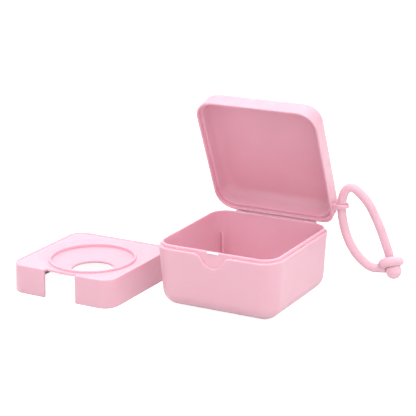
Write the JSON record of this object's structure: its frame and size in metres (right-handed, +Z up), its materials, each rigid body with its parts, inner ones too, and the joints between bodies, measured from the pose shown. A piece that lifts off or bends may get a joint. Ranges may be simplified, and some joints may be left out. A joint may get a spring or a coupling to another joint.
{
  "type": "pacifier sterilizer case",
  "caption": "Square moulded pacifier sterilizer case with a hinged lid, a corded carrying strap through an eyelet, and a loose dished insert tray.",
  "frame": {"origin": "centre of the tub's underside, on the surface it stands on", "axes": "+Z up; +Y towards the hinge; +X to the side that carries the strap's eyelet; the loose tray stands towards -X"},
  "size_m": [0.223, 0.1246, 0.1227],
  "materials": {
    "polypropylene": "fine satin moulded surface, pale pink",
    "silicone": "soft matt moulded silicone, pale pink"
  },
  "bodies": {
    "base": {"base_tub": "polypropylene", "hinge_pin": "polypropylene"},
    "lid": {"lid_shell": "polypropylene"},
    "strap": {"strap_cord": "silicone", "strap_keeper": "silicone", "strap_ball": "silicone"},
    "tray": {"insert_tray": "polypropylene"}
  },
  "joints": [
    {"name": "lid_hinge", "type": "hinge", "parent": "base", "child": "lid", "pos_m": [0, 0.0443, 0.0391], "axis": [-1, 0, 0], "range_deg": [-67.8, 42]},
    {"name": "strap_swivel", "type": "hinge", "parent": "lid", "child": "strap", "pos_m": [0.0475, 0.04282, 0.0545], "axis": [0, 0, 1], "range_deg": [-60, 15]},
    {"name": "tray_lift", "type": "slide", "parent": "base", "child": "tray", "axis": [0, 0, 1], "range_m": [0, 0.08]}
  ]
}
